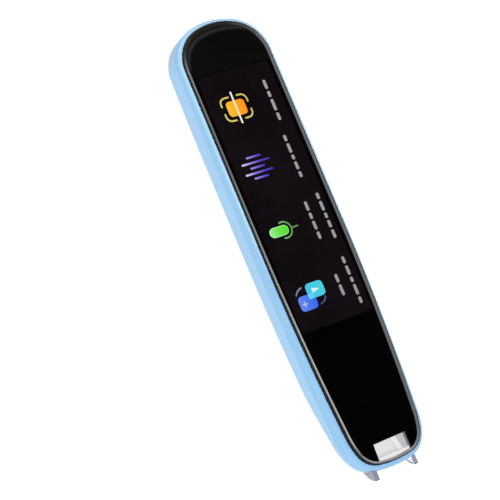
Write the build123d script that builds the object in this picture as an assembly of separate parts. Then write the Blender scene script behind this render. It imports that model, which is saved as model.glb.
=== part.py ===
from build123d import *
import math
import os

os.makedirs("parts", exist_ok=True)

# Scanning pen, millimetres.
# The pen lies on its back.  +Z is up through the screen, +Y runs to the tail,
# -Y to the scanning tip, +X is the right-hand side seen from the screen.
# The origin is on the flat back, under the middle of the screen bezel.

# ---------------------------------------------------------------- dimensions
T = 12.0                 # back to the crest of the bright trim ring
HALF_L = 73.33           # half length of the bezel outline
HALF_W = 15.58           # half width of the bezel outline
BODY_OFF = 1.20          # blue rim outside the bezel outline
E_TIP, E_TAIL = 0.22, 0.03 # extra blue rim at the two ends
WALL = 1.35              # shell wall
FLOOR = 1.3              # shell floor
BOTTOM_R = 2.8           # rounding under the body
RIM_R = 0.60             # rounding of the rim's outer edge
RIM_LINE = [(-90, 10.25), (-30, 10.80), (12, 11.13), (90, 11.13)]   # (y, rim height) along the pen
SPLIT_Z = 7.20           # parting line between the back shell and the front frame
WEB_Z = 8.80             # underside of the web across the front frame
SLOPE_Y, SLOPE_R, SLOPE_A = -42.0, 60.0, 0.154   # the back turns up here, into a straight ramp to the tip
TAIL_Y, TAIL_R = 30.0, 850.0      # and very slightly up towards the tail from here

RING_IN = 1.13           # inner edge of the trim ring, inside the bezel outline
RING_OUT = 0.18          # outer edge of the trim ring, inside the bezel outline
RING_Z0 = 10.55
RING_CREST, RING_FALL = 0.18, 0.34   # width of the flat crest, fall of the slope inside it
RING_TIP = 0.20          # the ring is this much narrower at the tip
CARRIER_TOP = 11.92
GLASS_Z0, GLASS_Z1, GLASS_R = 10.62, 11.50, 0.30

DISP_HW, DISP_Y0, DISP_Y1 = 13.45, -30.0, 59.5   # display module
NIB_TRAVEL = 0.6
KEY_TRAVEL = 0.3
FIN_X, FIN_T, FIN_TOP = 7.32, 1.45, 9.24
FIN_LOW = {-1: ((-76.98, 9.0), (-75.75, 5.95), (-73.15, 3.75)),   # lower front curve of each fin, (y, z)
           1: ((-76.88, 8.9), (-75.45, 6.25), (-73.20, 4.10))}
KEY_Y, KEY_Z, KEY_L, KEY_H = 50.0, 5.2, 10.0, 2.4
PORT_Z = 5.98            # centre height of the charging port


# ---------------------------------------------------------------- outline
# Right half of the bezel outline, from the tip to the tail, as tangent arcs.
# radius and turn in radians; the last turn of each end is what is left.
TIP_ARCS = [(33.9, 0.173), (7.65, 1.071), (26.0, 0.246), (774.6, None)]
TAIL_ARCS = [(21.54, 0.371), (11.88, 0.683), (13.20, None)]
# The body's own ends differ a little; these radii are its outside ones, at BODY_OFF.
BODY_TIP = [(34.3, 0.192), (8.88, 0.900), (17.1, 0.411), (938.7, None)]
BODY_TAIL = [(24.9, 0.332), (13.0, 0.649), (12.43, None)]


def walk(x, y, arcs):
    """Follow tangent arcs from (x, y), heading +x and turning left."""
    h = 0.0
    pts = [(x, y)]
    for r, a in arcs:
        cx, cy = x - r * math.sin(h), y + r * math.cos(h)
        m = h + a / 2
        mid = (cx + r * math.sin(m), cy - r * math.cos(m))
        h += a
        x, y = cx + r * math.sin(h), cy - r * math.cos(h)
        pts += [mid, (x, y)]
    return pts


def tip_chain(d, e):
    """Tip half for offset d and extra length e: ends at x = HALF_W + d."""
    target = HALF_W + d
    y_end = walk(0, -HALF_L, full(TIP_ARCS, 0))[-1][1]
    arcs, off = (BODY_TIP, BODY_OFF) if e == E_TIP else (TIP_ARCS, 0.0)
    a1, a2, a3 = (q[1] for q in arcs[:3])
    r = [q[0] + d - off for q in arcs]

    def err(a1, a3):
        a4 = math.pi / 2 - a1 - a2 - a3
        p = walk(0, -HALF_L - d - e, list(zip(r, (a1, a2, a3, a4))))[-1]
        return p[0] - target, p[1] - y_end

    for _ in range(20):
        f = err(a1, a3)
        k = 1e-6
        fa, fb = err(a1 + k, a3), err(a1, a3 + k)
        j = [[(fa[0] - f[0]) / k, (fb[0] - f[0]) / k], [(fa[1] - f[1]) / k, (fb[1] - f[1]) / k]]
        det = j[0][0] * j[1][1] - j[0][1] * j[1][0]
        a1 -= (f[0] * j[1][1] - f[1] * j[0][1]) / det
        a3 -= (j[0][0] * f[1] - j[1][0] * f[0]) / det
    a4 = math.pi / 2 - a1 - a2 - a3
    return walk(0, -HALF_L - d - e, list(zip(r, (a1, a2, a3, a4))))


def full(arcs, d):
    left = math.pi / 2 - sum(a for _, a in arcs if a is not None)
    return [(r + d, left if a is None else a) for r, a in arcs]


def tail_chain(d, e):
    target = HALF_W + d
    arcs = full(BODY_TAIL, d - BODY_OFF) if e == E_TAIL else full(TAIL_ARCS, d)
    pts = walk(0, -HALF_L - d - e, arcs)
    k = target - pts[-1][0]          # a hair, taken up in x so that the side is exact
    n = len(pts) - 1
    return [(x + k * i / n, -y) for i, (x, y) in enumerate(pts)]


def outline_wire(d, e_tip=0.0, e_tail=0.0, z=0.0):
    tip, tail = tip_chain(d, e_tip), tail_chain(d, e_tail)
    v = lambda p, s=1: Vector(s * p[0], p[1], z)
    edges = []
    # cap arcs run across the middle
    edges.append(Edge.make_three_point_arc(v(tip[2], -1), v(tip[0]), v(tip[2])))
    for s in (1, -1):
        for i in range(2, len(tip) - 1, 2):
            edges.append(Edge.make_three_point_arc(v(tip[i], s), v(tip[i + 1], s), v(tip[i + 2], s)))
        edges.append(Edge.make_line(v(tip[-1], s), v(tail[-1], s)))
        for i in range(len(tail) - 1, 2, -2):
            edges.append(Edge.make_three_point_arc(v(tail[i], s), v(tail[i - 1], s), v(tail[i - 2], s)))
    edges.append(Edge.make_three_point_arc(v(tail[2], -1), v(tail[0]), v(tail[2])))
    return Wire(edges)


def outline(d, z0, z1, e_tip=0.0, e_tail=0.0):
    return extrude(Face(outline_wire(d, e_tip, e_tail, z0)), z1 - z0, dir=(0, 0, 1))


def box(x0, x1, y0, y1, z0, z1):
    return Pos((x0 + x1) / 2, (y0 + y1) / 2, (z0 + z1) / 2) * Box(x1 - x0, y1 - y0, z1 - z0)


def cyl_z(x, y, z0, z1, r):
    return Pos(x, y, (z0 + z1) / 2) * Cylinder(r, z1 - z0)


def cyl_y(x, z, y0, y1, r):
    return Pos(x, (y0 + y1) / 2, z) * Rot(90, 0, 0) * Cylinder(r, y1 - y0)


def cyl_x(y, z, x0, x1, r):
    return Pos((x0 + x1) / 2, y, z) * Rot(0, 90, 0) * Cylinder(r, x1 - x0)


def side_profile(dz, ztop, ylo=-90.0, yhi=90.0):
    """Everything above the back, raised by dz, as a slab across the pen."""
    p = lambda y, z: Vector(-40, y, z)
    r1, r2 = SLOPE_R - dz, TAIL_R - dz
    tip = lambda a: p(SLOPE_Y - r1 * math.sin(a), SLOPE_R - r1 * math.cos(a))
    tail = lambda a: p(TAIL_Y + r2 * math.sin(a), TAIL_R - r2 * math.cos(a))
    a_tail = math.asin((yhi - TAIL_Y) / r2)
    knee = tip(SLOPE_A)
    foot = p(ylo, knee.Z + (knee.Y - ylo) * math.tan(SLOPE_A))
    edges = [
        Edge.make_three_point_arc(tail(a_tail), tail(a_tail / 2), tail(0)),
        Edge.make_line(tail(0), tip(0)),
        Edge.make_three_point_arc(tip(0), tip(SLOPE_A / 2), knee),
        Edge.make_line(knee, foot),
        Edge.make_line(foot, p(ylo, ztop)),
        Edge.make_line(p(ylo, ztop), p(yhi, ztop)),
        Edge.make_line(p(yhi, ztop), tail(a_tail)),
    ]
    return extrude(Face(Wire(edges)), 80, dir=(1, 0, 0))


def hull(d, dz, r, ztop):
    """Body outline offset by d, with the back raised by dz and its edge rounded."""
    s = outline(d, dz - 1.0, ztop, E_TIP, E_TAIL) & side_profile(dz, ztop + 1)
    s = s.solid() if isinstance(s, ShapeList) else s
    # the edges around the back: every edge that is not upright and not at the top
    edges = []
    for e in s.edges():
        bb = e.bounding_box()
        if bb.max.Z > ztop - 0.01:
            continue
        # upright seams of the side wall
        if bb.size.X < 1e-4 and bb.size.Y < 1e-4:
            continue
        c = e @ 0.5
        # skip the seam across the back where the flat meets the curve
        if abs(c.X) < 1e-3 and bb.size.Y < 1e-3 and bb.size.X > 20:
            continue
        edges.append(e)
    return fillet(edges, r)


def one(s):
    if isinstance(s, (list, ShapeList)):
        s = Compound(children=list(s)) if len(s) > 1 else s[0]
    return s


def solids_of(s):
    return list(s.solids())


PARTS = {}


def keep(name, shape):
    sol = solids_of(shape)
    out = sol[0] if len(sol) == 1 else Compound(sol)
    out.label = name
    PARTS[name] = out
    export_step(out, f"parts/{name}.step")


def group(items):
    out = []
    for i in items:
        out += solids_of(i)
    return Compound(out)


# ---------------------------------------------------------------- housing
body = hull(BODY_OFF, 0.0, BOTTOM_R, 12.6)
cavity = hull(BODY_OFF - WALL, FLOOR, BOTTOM_R - WALL, 12.6)

# rim: level behind the knee, and falling slightly towards the tip before it; outer edge rounded
rim_cut_face = Face(Wire(Polyline(
    *[(-40, y, z) for y, z in RIM_LINE], (-40, 90, 30), (-40, -90, 30), close=True).edges()))
rim_cut = extrude(rim_cut_face, 80, dir=(1, 0, 0))
body_cut = body - rim_cut
rim_edges = []
for f in body_cut.faces().sort_by(Axis.Z)[1 - len(RIM_LINE):]:
    for e in f.edges():
        c = e @ 0.5
        if abs(c.X) > 0.01 or abs(c.Y) > 70:      # all but the seams across the middle
            rim_edges.append(e)
body_rimmed = fillet(rim_edges, RIM_R)

lower = box(-40, 40, -95, 95, -1, SPLIT_Z)
upper = box(-40, 40, -95, 95, SPLIT_Z + 0.02, 14)

# slots for the two fins of the nib, open through the tip wall
fin_slots = []
for s in (-1, 1):
    a, b = s * FIN_X - FIN_T / 2 - 0.15, s * FIN_X + FIN_T / 2 + 0.15
    fin_slots.append(box(a, b, -78, -72.5, 3.4, FIN_TOP + 0.12))
    fin_slots.append(box(a, b, -73.0, -71.8, 4.0, WEB_Z + 0.02))
    fin_slots.append(box(a, b, -72.0, -69.6, 6.9, WEB_Z + 0.02))
aperture = box(-5.8, 5.8, -78, -72.55, 7.05, WEB_Z + 0.5)

port_hole = fillet((Pos(0, 75.0, PORT_Z) * Box(9.3, 5.0, 3.5)).edges().filter_by(Axis.Y), 1.7)
mic_hole = cyl_y(8.3, 5.7, 66.0, 80.0, 0.5)
key_hole = fillet(box(13.5, 20, KEY_Y - KEY_L / 2 - 0.12, KEY_Y + KEY_L / 2 + 0.12,
                      KEY_Z - KEY_H / 2 - 0.12, KEY_Z + KEY_H / 2 + 0.12).edges().filter_by(Axis.X), 1.28)

# shallow groove where the two casings meet
groove = (outline(BODY_OFF + 1.0, SPLIT_Z - 0.05, SPLIT_Z + 0.07, E_TIP, E_TAIL)
          - outline(BODY_OFF - 0.08, SPLIT_Z - 0.1, SPLIT_Z + 0.1, E_TIP, E_TAIL))
groove = groove - box(-40, 40, -80, -70.5, 6, 9)      # it fades out where the back curves up
shell = (body_rimmed & lower) - cavity - groove
for c in fin_slots + [aperture, port_hole, mic_hole, key_hole]:
    shell = shell - c
# speaker grille in the back
SPK_X, SPK_Y = 0.0, 36.0
for ix in range(-3, 4):
    for iy in range(-1, 2):
        if abs(ix) == 3 and iy != 0:
            continue
        shell = shell - cyl_z(SPK_X + ix * 2.0, SPK_Y + iy * 2.0, -1, 3, 0.55)
# ribs inside: a stop for the nib springs and a pair of battery fences
for s in (-1, 1):
    rib = box(s * 5.2 - 1.9, s * 5.2 + 1.9, -44.6, -43.6, 1.0, 7.2) & cavity
    shell = shell + rib
shell = shell + (box(-13.4, 13.4, -39.6, -38.6, 1.0, 4.2) & cavity)
keep("back_shell", shell)

# front frame: blue rim, a web under the bezel, and a tongue inside the back shell
ledge_z0, ledge_z1 = WEB_Z + 0.02, 9.5
front = (body_rimmed & upper) - outline(0.05, ledge_z1, 13) - groove
front = front - (cavity & box(-40, 40, -95, 95, 0, ledge_z0))
display_opening = fillet(box(-13.6, 13.6, DISP_Y0 - 0.3, DISP_Y1 + 1.6, 8, 10).edges().filter_by(Axis.Z), 0.9)
chamber_opening = box(-6.65, 6.65, -72.2, -56.4, 8, 10)
front = front - display_opening - chamber_opening
front = front - box(-4.2, 4.2, -56.6, -52.4, 8, 10)
for c in fin_slots + [aperture, port_hole]:
    front = front - c
front = front - box(-7.0, 7.0, -73.36, -71.7, SPLIT_Z, ledge_z0)   # room for the nib's bar
tongue = (outline(BODY_OFF - WALL - 0.05, 6.0, SPLIT_Z + 0.1, E_TIP, E_TAIL)
          + outline(BODY_OFF - WALL + 0.1, SPLIT_Z + 0.02, ledge_z0, E_TIP, E_TAIL)
          - outline(BODY_OFF - WALL - 0.75, 5.8, ledge_z0 + 0.1, E_TIP, E_TAIL))
tongue = tongue - box(-20, 20, -80, -62, 5, 10) - box(-5.2, 5.2, 66, 80, 5, 10)
tongue = tongue - box(12.0, 20, KEY_Y - 6.8, KEY_Y + 6.8, 5, SPLIT_Z + 0.02) - mic_hole
front = front + tongue
FRAME_SCREWS = [(-9.0, 66.0), (9.0, 66.0), (-10.0, -34.0), (10.0, -34.0), (-10.0, -42.5), (10.0, -42.5)]
for x, y in FRAME_SCREWS:
    front = front + cyl_z(x, y, ledge_z1 - 0.2, 10.40, 1.5)
    front = front - cyl_z(x, y, 8.0, 10.05, 0.58)
keep("front_frame", front)

# ---------------------------------------------------------------- bezel and glass
carrier = outline(0.0, 9.55, CARRIER_TOP) - outline(-2.0, 9.0, 13)
carrier = carrier - outline(-RING_OUT + 0.02, RING_Z0 - 0.03, 13)
carrier = carrier - box(-13.6, 13.6, DISP_Y0 - 0.3, DISP_Y1 + 0.3, 9, 13)
carrier = carrier - box(-6.65, 6.65, -71.82, -69, 9, 13)
for x, y in FRAME_SCREWS:
    carrier = carrier - cyl_z(x, y, 9, 10.53, 1.6)
keep("bezel_carrier", carrier)

# the ring slopes inwards and down to the glass from a narrow crest
ring = outline(-RING_OUT, RING_Z0, T) - outline(-RING_IN, RING_Z0 - 1, T + 1, RING_TIP)
run = (RING_IN - RING_OUT - RING_CREST) / RING_FALL
slope = Solid.make_loft([
    outline_wire(-RING_IN - 0.1 * run, RING_TIP, z=T - RING_FALL - 0.1),
    outline_wire(-RING_OUT - RING_CREST + 0.1 * run, z=T + 0.1)], True)
ring = ring - slope
top = ring.faces().sort_by(Axis.Z)[-1]
ring = fillet(top.outer_wire().edges(), 0.07)
keep("trim_ring", ring)

glass = outline(-RING_IN - 0.03, GLASS_Z0, GLASS_Z1, RING_TIP)
glass = fillet(glass.faces().sort_by(Axis.Z)[-1].edges(), GLASS_R)
keep("cover_glass", glass)

gl_ad = outline(-RING_IN - 0.08, 10.54, 10.60, RING_TIP) - outline(-1.98, 10, 13)
gl_ad = gl_ad - box(-6.65, 6.65, -73, -69, 9, 13) - box(-13.6, 13.6, DISP_Y0 - 0.3, DISP_Y1 + 0.3, 9, 13)
keep("glass_adhesive", gl_ad)

oca = box(-13.3, 13.3, DISP_Y0 + 0.4, DISP_Y1 - 0.4, 10.575, 10.61)
keep("optical_adhesive", oca)
cell = fillet(box(-DISP_HW, DISP_HW, DISP_Y0, DISP_Y1, 9.76, 10.57).edges().filter_by(Axis.Z), 0.8)
keep("display_cell", cell)
backlight = fillet(box(-DISP_HW, DISP_HW, DISP_Y0, DISP_Y1, 8.86, 9.74).edges().filter_by(Axis.Z), 0.8)
keep("backlight_unit", backlight)

# flex from the display's tail end, down through the chassis to the main board
flex_pts = [(DISP_Y1 + 0.02, 9.40), (DISP_Y1 + 1.1, 9.40), (DISP_Y1 + 1.1, 7.66), (DISP_Y1 - 3.0, 7.66)]
flex_path = FilletPolyline(*[(0, y, z) for y, z in flex_pts], radius=0.45)
flex_sec = Plane(origin=(0, flex_pts[0][0], flex_pts[0][1]), z_dir=(0, 1, 0)) * Rectangle(12, 0.15)
flex = sweep(flex_sec, path=flex_path)
bb = flex.bounding_box()
if bb.size.X < 11.9:
    flex_sec = Plane(origin=(0, flex_pts[0][0], flex_pts[0][1]), z_dir=(0, 1, 0)) * Rectangle(0.15, 12)
    flex = sweep(flex_sec, path=flex_path)
keep("display_flex", flex)

# ---------------------------------------------------------------- chassis and boards
mid = outline(BODY_OFF - WALL - 0.85, 7.90, 8.75, E_TIP, E_TAIL) & box(-20, 20, -45.0, 70.5, 7, 9)
mid = mid - box(-6.6, 6.6, DISP_Y1 + 0.6, DISP_Y1 + 1.7, 7, 9)
BOARD_SCREWS = [(-12.4, 9.0), (12.4, 9.0), (-12.0, 57.0), (12.0, 43.0)]
for x, y in FRAME_SCREWS:
    mid = mid - cyl_z(x, y, 7, 9, 0.65)
for x, y in BOARD_SCREWS:
    mid = mid + cyl_z(x, y, 7.05, 8.0, 1.3)
    mid = mid - cyl_z(x, y, 7, 9, 0.55)
keep("midframe", mid)

screws = []
for x, y in FRAME_SCREWS:
    screws.append(cyl_z(x, y, 7.40, 7.83, 1.15) + cyl_z(x, y, 7.8, 9.9, 0.5))
keep("frame_screws", group(screws))

BZ0, BZ1 = 6.2, 7.0
board = outline(BODY_OFF - WALL - 1.1, BZ0, BZ1, E_TIP, E_TAIL) & box(-20, 20, 3.5, 72.0, 5, 9)
board = board - box(-4.75, 4.75, 66.0, 80, 5, 9)
board = board - box(13.60, 20, KEY_Y - 6.6, KEY_Y + 6.6, 5, 9)      # clear of the key
for x, y in BOARD_SCREWS:
    board = board - cyl_z(x, y, 5, 9, 0.6)
for x, y in FRAME_SCREWS[:2]:
    board = board - cyl_z(x, y, 5, 9, 1.4)
keep("main_board", board)
screws = []
for x, y in BOARD_SCREWS:
    screws.append(cyl_z(x, y, 5.6, 6.18, 1.1) + cyl_z(x, y, 6.0, 8.5, 0.5))
keep("board_screws", group(screws))

keep("processor", box(-7.0, 5.0, 12, 24, 5.15, 6.18))
keep("memory_chip", box(6.4, 11.2, 12.5, 22.5, 5.2, 6.18))
can = box(-8.2, 12.0, 11.0, 25.2, 4.7, 6.18) - box(-8.0, 11.8, 11.2, 25.0, 4.9, 7)
keep("shield_can", can)
keep("wifi_module", box(-12.6, -4.6, 61.0, 65.4, 4.7, 6.18))
keep("power_chip", box(-12.8, -9.2, 14.0, 17.6, 5.3, 6.18))
keep("display_connector", box(-6.2, 6.2, DISP_Y1 - 3.0, DISP_Y1 - 1.2, 7.02, 7.57))

# charging port: steel shell around a contact tongue, sunk in the board's edge
port_out = (Pos(0, 70.35, PORT_Z) * Box(8.94, 7.35, 3.16)).edges().filter_by(Axis.Y)
port = fillet(port_out, 1.5)
port_in = fillet((Pos(0, 70.95, PORT_Z) * Box(8.34, 7.35, 2.56)).edges().filter_by(Axis.Y), 1.2)
keep("usb_shell", port - port_in)
keep("usb_tongue", box(-3.35, 3.35, 67.3, 72.4, PORT_Z - 0.35, PORT_Z + 0.35))

# ---------------------------------------------------------------- battery and sound
BAT = (-13.0, 13.0, -38.0, -0.6, 1.75, 7.35)
batt = fillet(box(*BAT).edges().filter_by(Axis.Y), 1.6)
batt = fillet(batt.faces().sort_by(Axis.Y)[0].edges() + batt.faces().sort_by(Axis.Y)[-1].edges(), 0.5)
keep("battery", batt)
keep("battery_pad", box(-9, 9, -37.0, -3.0, 1.62, 1.74))
keep("battery_protection_board", box(-10, 10, -0.55, 0.45, 3.0, 5.8))
keep("battery_connector", box(-3.0, 3.0, 6.4, 9.6, 4.4, 6.18))
keep("battery_leads", group([cyl_y(s * 1.2, 5.2, 0.47, 6.38, 0.45) for s in (-1, 1)]))

spk = fillet(box(-10.0, 10.0, SPK_Y - 7, SPK_Y + 7, 2.0, 5.6).edges().filter_by(Axis.Z), 2.5)
keep("speaker", spk)
gask = (fillet(box(-10.0, 10.0, SPK_Y - 7, SPK_Y + 7, 1.45, 1.98).edges().filter_by(Axis.Z), 2.5)
        - fillet(box(-8.6, 8.6, SPK_Y - 5.6, SPK_Y + 5.6, 1.0, 3.0).edges().filter_by(Axis.Z), 1.5))
keep("speaker_gasket", gask)
keep("speaker_mesh", fillet(box(-8.0, 8.0, SPK_Y - 4, SPK_Y + 4, 1.38, 1.44).edges().filter_by(Axis.Z), 1.5))
keep("microphone", box(6.9, 9.6, 66.9, 69.1, 5.2, 6.18))
keep("antenna_strip", box(-11.5, -2.5, 22.0, 28.0, 1.32, 1.5))

# ---------------------------------------------------------------- power key
key_cap = fillet(box(15.03, 16.95, KEY_Y - KEY_L / 2, KEY_Y + KEY_L / 2,
                     KEY_Z - KEY_H / 2, KEY_Z + KEY_H / 2).edges().filter_by(Axis.X), 1.19)
key_cap = fillet(key_cap.faces().sort_by(Axis.X)[-1].edges(), 0.3)
key_flange = box(14.45, 15.11, KEY_Y - 6.2, KEY_Y + 6.2, KEY_Z - 1.55, KEY_Z + 1.55)
keep("power_key", key_cap + key_flange)
sw = box(10.5, 13.5, KEY_Y - 2.3, KEY_Y + 2.3, 4.3, 6.18) - box(12.8, 15, KEY_Y - 0.85, KEY_Y + 0.85, 4.75, 5.65)
keep("power_switch", sw)
keep("power_plunger", fillet(box(13.16, 14.43, KEY_Y - 0.78, KEY_Y + 0.78, 4.82, 5.58).edges().filter_by(Axis.X), 0.3))

# ---------------------------------------------------------------- nib and trigger
# clear nib: two fins outside, two arms and a window bar inside
fins = []
for s in (-1, 1):
    x0, x1 = s * FIN_X - FIN_T / 2, s * FIN_X + FIN_T / 2
    q = lambda y, z: Vector(x0, y, z)
    low, z = FIN_LOW[s], FIN_TOP
    y = low[0][0]
    run = [(-65.0, 8.65), (-73.30, 8.65), (-73.30, z), (y + 0.20, z)]
    edges = [Edge.make_line(q(*a), q(*b)) for a, b in zip(run, run[1:])]
    edges.append(Edge.make_three_point_arc(q(y + 0.20, z), q(y + 0.06, z - 0.06), q(y, z - 0.20)))
    edges.append(Edge.make_line(q(y, z - 0.20), q(*low[0])))
    edges.append(Edge.make_three_point_arc(*[q(*c) for c in low]))
    run = [low[2], (-72.85, 4.9), (-72.55, 7.1), (-65.0, 7.1), (-65.0, 8.65)]
    edges += [Edge.make_line(q(*a), q(*b)) for a, b in zip(run, run[1:])]
    prof = Face(Wire(edges))
    fin = extrude(prof, FIN_T, dir=(1, 0, 0))
    fins.append(fin)
nib = fins[0] + fins[1] + box(-6.9, 6.9, -73.20, -72.40, 7.35, 8.65)
keep("scan_nib", nib)

slider = box(-8.2, -6.7, -64.98, -49.6, 5.9, 7.3) + box(6.7, 8.2, -64.98, -49.6, 5.9, 7.3)
slider = slider + box(-8.2, 8.2, -50.6, -49.2, 4.9, 7.3)
slider = slider + box(-8.2, -6.7, -64.98, -62.0, 5.9, 8.5) + box(6.7, 8.2, -64.98, -62.0, 5.9, 8.5)
for s in (-1, 1):
    slider = slider + cyl_y(s * 5.2, 6.0, -49.3, -47.9, 0.75)
keep("nib_slider", slider)


def coil(x, z, y0, y1, r, wire, turns):
    path = Pos(x, y0, z) * Rot(-90, 0, 0) * Helix((y1 - y0) / turns, y1 - y0, r)
    start = path @ 0
    tan = path % 0
    sec = Plane(origin=start, z_dir=tan) * Circle(wire)
    return sweep(sec, path=path, is_frenet=True)


keep("nib_springs", group([coil(s * 5.2, 6.0, -49.0, -44.8, 1.15, 0.16, 4.5) for s in (-1, 1)]))

keep("trigger_board", box(-9.0, 9.0, -47.6, -40.6, 6.95, 7.50)
     - box(-7.3, -3.1, -49, -43.4, 6, 8) - box(3.1, 7.3, -49, -43.4, 6, 8)
     - cyl_z(-10, -42.5, 6, 8, 1.5) - cyl_z(10, -42.5, 6, 8, 1.5))
tsw = box(-2.2, 2.2, -47.2, -43.6, 5.2, 6.93) - cyl_y(0, 6.05, -48, -46.2, 0.62)
keep("trigger_switch", tsw)
keep("trigger_plunger", cyl_y(0, 6.05, -49.17, -46.85, 0.55))

# ---------------------------------------------------------------- scanning camera
keep("camera_flex", box(-3.4, 3.4, -54.05, 8.0, 7.60, 7.74))
keep("camera_board", box(-6.2, 6.2, -54.9, -54.1, 3.9, 8.4))
keep("image_sensor", box(-1.8, 1.8, -55.6, -54.92, 4.3, 7.9))
holder = box(-2.5, 2.5, -57.0 + 0.4, -54.92, 3.7, 8.5) - box(-2.0, 2.0, -55.9, -54.0, 4.1, 8.1)
holder = holder - cyl_y(0, 6.1, -58, -55, 1.75)
keep("lens_holder", holder)
barrel = cyl_y(0, 6.1, -59.0, -56.65, 2.1) - cyl_y(0, 6.1, -59.2, -58.4, 1.7) - cyl_y(0, 6.1, -58.5, -56, 1.2)
keep("lens_barrel", barrel)
lens = cyl_y(0, 6.1, -58.95, -58.42, 1.66)
keep("lens", fillet(lens.faces().sort_by(Axis.Y)[0].edges(), 0.2))
keep("illumination_leds", group([box(s * 4.6 - 0.9, s * 4.6 + 0.9, -55.7, -54.92, 5.3, 6.9) for s in (-1, 1)]))

# white light box between the tip and the camera, open to the tip and to the window
guard_out = hull(BODY_OFF - WALL - 0.12, FLOOR + 0.12, BOTTOM_R - WALL - 0.1, 12.6)
guard_in = hull(BODY_OFF - WALL - 0.62, FLOOR + 0.62, BOTTOM_R - WALL - 0.5, 12.6)



def above_floor(dz):
    """Everything above the white box's own sloping floor, raised by dz."""
    pts = [(-50, 2.35), (-57.3, 4.09), (-64.5, 5.38), (-71.7, 6.97), (-78, 8.36)]
    line = Polyline(*[(-40, y, z + dz) for y, z in pts], (-40, -78, 30), (-40, -50, 30), close=True)
    return extrude(Face(Wire(line.edges())), 80, dir=(1, 0, 0))


liner = ((box(-6.45, 6.45, -71.72, -56.68, 2, 10.50) & guard_out & above_floor(-0.6))
         - (box(-5.9, 5.9, -73.5, -57.28, 2, 11.5) & guard_in & above_floor(0.0)))
liner = liner - cyl_y(0, 6.1, -59, -55, 2.2)
for s in (-1, 1):
    liner = liner - box(s * 4.6 - 1.1, s * 4.6 + 1.1, -59, -55, 5.1, 7.1)
keep("chamber_liner", liner)
wg = box(-6.5, 6.5, -70.9, -56.7, 10.51, 10.61) - box(-5.95, 5.95, -72, -57.2, 10, 11)
keep("window_gasket", wg)

total = Compound([p for p in PARTS.values()])
b = total.bounding_box()
print("nodes", len(PARTS), "size", [round(v, 3) for v in (b.size.X, b.size.Y, b.size.Z)],
      "min", [round(v, 3) for v in (b.min.X, b.min.Y, b.min.Z)])
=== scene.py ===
import math

import bmesh
import bpy
from mathutils import Matrix, Vector
from mathutils.geometry import delaunay_2d_cdt


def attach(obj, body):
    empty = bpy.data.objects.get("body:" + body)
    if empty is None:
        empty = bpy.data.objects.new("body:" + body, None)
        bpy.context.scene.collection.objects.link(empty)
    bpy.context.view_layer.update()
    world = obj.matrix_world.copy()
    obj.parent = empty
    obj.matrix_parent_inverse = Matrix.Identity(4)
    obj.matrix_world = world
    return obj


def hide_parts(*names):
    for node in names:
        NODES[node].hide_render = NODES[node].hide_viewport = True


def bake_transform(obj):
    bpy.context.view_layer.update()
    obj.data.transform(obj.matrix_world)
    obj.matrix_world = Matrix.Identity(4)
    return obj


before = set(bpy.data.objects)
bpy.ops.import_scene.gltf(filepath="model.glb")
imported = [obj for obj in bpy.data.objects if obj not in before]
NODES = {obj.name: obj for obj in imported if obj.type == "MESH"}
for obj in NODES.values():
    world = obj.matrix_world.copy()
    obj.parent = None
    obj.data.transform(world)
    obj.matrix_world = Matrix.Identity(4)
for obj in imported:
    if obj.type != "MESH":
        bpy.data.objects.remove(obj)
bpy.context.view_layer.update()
scene = bpy.context.scene
MM = 0.001

# ------------------------------------------------------------------ outline
# The same outline as the CAD, millimetres.
HALF_L, HALF_W = 73.33, 15.58
RING_IN, RING_TIP = 1.13, 0.20
GLASS_Z0, GLASS_Z1, GLASS_R = 10.62, 11.50, 0.30
TIP_ARCS = [(33.9, 0.173), (7.65, 1.071), (26.0, 0.246), (774.6, None)]
TAIL_ARCS = [(21.54, 0.371), (11.88, 0.683), (13.20, None)]
TIP_N = (10, 26, 8, 16)
TAIL_N = (10, 18, 12)
SIDE_N = 10


def full(arcs, d):
    left = math.pi / 2 - sum(a for _, a in arcs if a is not None)
    return [(r + d, left if a is None else a) for r, a in arcs]


def run_arcs(x, y, arcs, counts=None):
    """Points along tangent arcs from (x, y), heading +x and turning left."""
    h, pts = 0.0, [(x, y)]
    for i, (r, a) in enumerate(arcs):
        cx, cy = x - r * math.sin(h), y + r * math.cos(h)
        n = counts[i] if counts else 1
        for k in range(1, n + 1):
            m = h + a * k / n
            pts.append((cx + r * math.sin(m), cy - r * math.cos(m)))
        h += a
        x, y = pts[-1]
    return pts


def tip_half(d, e):
    y_end = run_arcs(0, -HALF_L, full(TIP_ARCS, 0))[-1][1]
    a1, a2, a3 = (q[1] for q in TIP_ARCS[:3])
    r = [q[0] + d for q in TIP_ARCS]

    def arcs(a1, a3):
        return list(zip(r, (a1, a2, a3, math.pi / 2 - a1 - a2 - a3)))

    def err(a1, a3):
        p = run_arcs(0, -HALF_L - d - e, arcs(a1, a3))[-1]
        return p[0] - HALF_W - d, p[1] - y_end

    for _ in range(20):
        f, k = err(a1, a3), 1e-6
        fa, fb = err(a1 + k, a3), err(a1, a3 + k)
        j = [[(fa[0] - f[0]) / k, (fb[0] - f[0]) / k], [(fa[1] - f[1]) / k, (fb[1] - f[1]) / k]]
        det = j[0][0] * j[1][1] - j[0][1] * j[1][0]
        a1 -= (f[0] * j[1][1] - f[1] * j[0][1]) / det
        a3 -= (j[0][0] * f[1] - j[1][0] * f[0]) / det
    return run_arcs(0, -HALF_L - d - e, arcs(a1, a3), TIP_N)


def tail_half(d, e):
    pts = run_arcs(0, -HALF_L - d - e, full(TAIL_ARCS, d), TAIL_N)
    k, n = HALF_W + d - pts[-1][0], len(pts) - 1
    return [(x + k * i / n, -y) for i, (x, y) in enumerate(pts)]


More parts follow.
